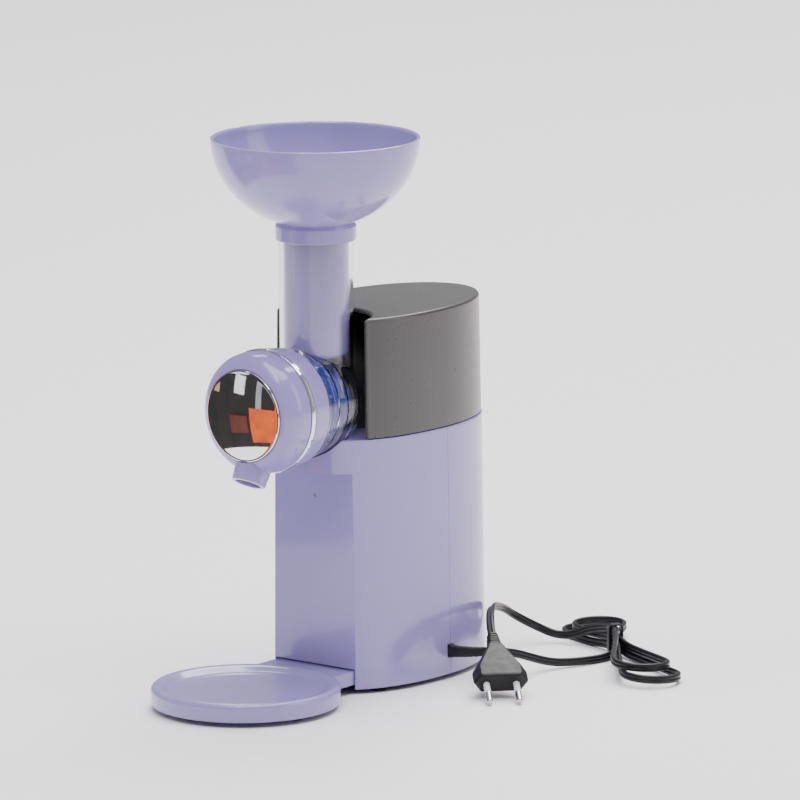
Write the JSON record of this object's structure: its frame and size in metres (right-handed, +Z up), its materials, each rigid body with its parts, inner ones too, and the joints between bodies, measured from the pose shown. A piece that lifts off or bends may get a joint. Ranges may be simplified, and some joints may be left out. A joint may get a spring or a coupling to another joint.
{
  "type": "ice cream maker",
  "caption": "Frozen fruit dessert maker: a bowl-topped pusher feeds a clear chute, a geared motor turns a conical auger, and the head has a front spout over a drip tray.",
  "frame": {"origin": "on the table, under the middle of the object's box measured without the lead and plug", "axes": "+Z up, -Y towards the spout and drip tray, +X to the side that the lead leaves"},
  "size_m": [0.2428, 0.3721, 0.3475],
  "materials": {
    "lilac_plastic": "glossy pale lilac",
    "grey_plastic": "satin silver grey",
    "clear_plastic": "clear plastic",
    "navy_plastic": "glossy navy blue",
    "mirror_trim": "mirror bright",
    "black_plastic": "fine texture",
    "black_rubber": "matt",
    "white_rubber": "translucent silicone",
    "natural_nylon": "natural nylon",
    "sleeve_plastic": "smooth grey",
    "bright_steel": "machined",
    "lamination_steel": "stacked laminations",
    "copper_winding": "enamelled copper",
    "sintered_bronze": "sintered",
    "carbon": "pressed carbon",
    "board_laminate": "solder mask",
    "wire_insulation": "smooth"
  },
  "bodies": {
    "base": {"front_housing": "lilac_plastic", "rear_housing": "lilac_plastic", "top_cover": "grey_plastic", "base_plate": "black_plastic", "base_feet": "black_rubber", "housing_screws": "bright_steel", "cover_screws": "bright_steel", "gearbox_case": "natural_nylon", "gearbox_cover": "natural_nylon", "gearbox_screws": "bright_steel", "gear_bushes": "sintered_bronze", "idler_axle": "bright_steel", "shaft_seal": "black_rubber", "motor_stator": "lamination_steel", "field_coils": "copper_winding", "motor_bracket": "bright_steel", "motor_screws": "bright_steel", "brush_holders": "sintered_bronze", "carbon_brushes": "carbon", "brush_springs": "bright_steel", "motor_bushes": "sintered_bronze", "circuit_board": "board_laminate", "board_parts": "black_plastic", "inner_leads": "wire_insulation", "switch_body": "black_plastic", "cord_gland": "black_plastic", "cord_clamp": "natural_nylon", "cord_lead": "black_rubber", "cord_hank": "black_rubber", "cord_tail": "black_rubber", "cord_tie": "black_rubber", "plug_body": "black_rubber", "plug_sleeves": "sleeve_plastic", "plug_pins": "bright_steel"},
    "motor": {"motor_shaft": "bright_steel", "armature": "copper_winding", "commutator": "copper_winding", "cooling_fan": "natural_nylon", "motor_pinion": "bright_steel"},
    "idler": {"idler_gear": "natural_nylon"},
    "drive": {"drive_shaft": "bright_steel", "output_gear": "natural_nylon"},
    "rocker": {"switch_rocker": "black_plastic"},
    "tray": {"drip_tray": "lilac_plastic", "tray_feet": "black_rubber"},
    "chute": {"chute_barrel": "clear_plastic"},
    "auger": {"auger": "navy_plastic", "auger_socket": "bright_steel"},
    "nozzle": {"nozzle_cap": "lilac_plastic", "front_disc": "mirror_trim", "trim_ring": "mirror_trim", "cap_seal": "white_rubber"},
    "lock": {"lock_ring": "lilac_plastic"},
    "pusher": {"pusher_bowl": "lilac_plastic", "pusher_collar": "lilac_plastic", "pusher_shaft": "lilac_plastic"}
  },
  "joints": [
    {"name": "motor_spin", "type": "hinge", "parent": "base", "child": "motor", "pos_m": [0, 0.1, 0.103], "axis": [0, 1, 0], "continuous": true},
    {"name": "idler_spin", "type": "hinge", "parent": "base", "child": "idler", "pos_m": [0, 0.06, 0.138], "axis": [0, 1, 0], "continuous": true},
    {"name": "drive_spin", "type": "hinge", "parent": "base", "child": "drive", "pos_m": [0, 0.05, 0.183], "axis": [0, 1, 0], "continuous": true},
    {"name": "auger_spin", "type": "hinge", "parent": "chute", "child": "auger", "pos_m": [0, -0.02, 0.183], "axis": [0, 1, 0], "continuous": true},
    {"name": "chute_slide", "type": "slide", "parent": "base", "child": "chute", "axis": [0, -1, 0], "range_m": [0, 0.09]},
    {"name": "nozzle_pull", "type": "slide", "parent": "chute", "child": "nozzle", "axis": [0, -1, 0], "range_m": [0, 0.06]},
    {"name": "ring_turn", "type": "hinge", "parent": "nozzle", "child": "lock", "pos_m": [0, -0.047, 0.183], "axis": [0, 1, 0], "range_deg": [-45, 0]},
    {"name": "pusher_lift", "type": "slide", "parent": "chute", "child": "pusher", "axis": [0, 0, 1], "range_m": [0, 0.09]},
    {"name": "rocker_tilt", "type": "hinge", "parent": "base", "child": "rocker", "pos_m": [-0.0475, 0.045, 0.062], "axis": [0, 1, 0], "range_deg": [-14, 0]},
    {"name": "tray_slide", "type": "slide", "parent": "base", "child": "tray", "axis": [0, -1, 0], "range_m": [0, 0.06]}
  ],
  "couplings": [
    {"joint": "idler_spin", "follows": "motor_spin", "ratio": -0.25},
    {"joint": "drive_spin", "follows": "motor_spin", "ratio": 0.071429},
    {"joint": "auger_spin", "follows": "motor_spin", "ratio": 0.071429}
  ]
}
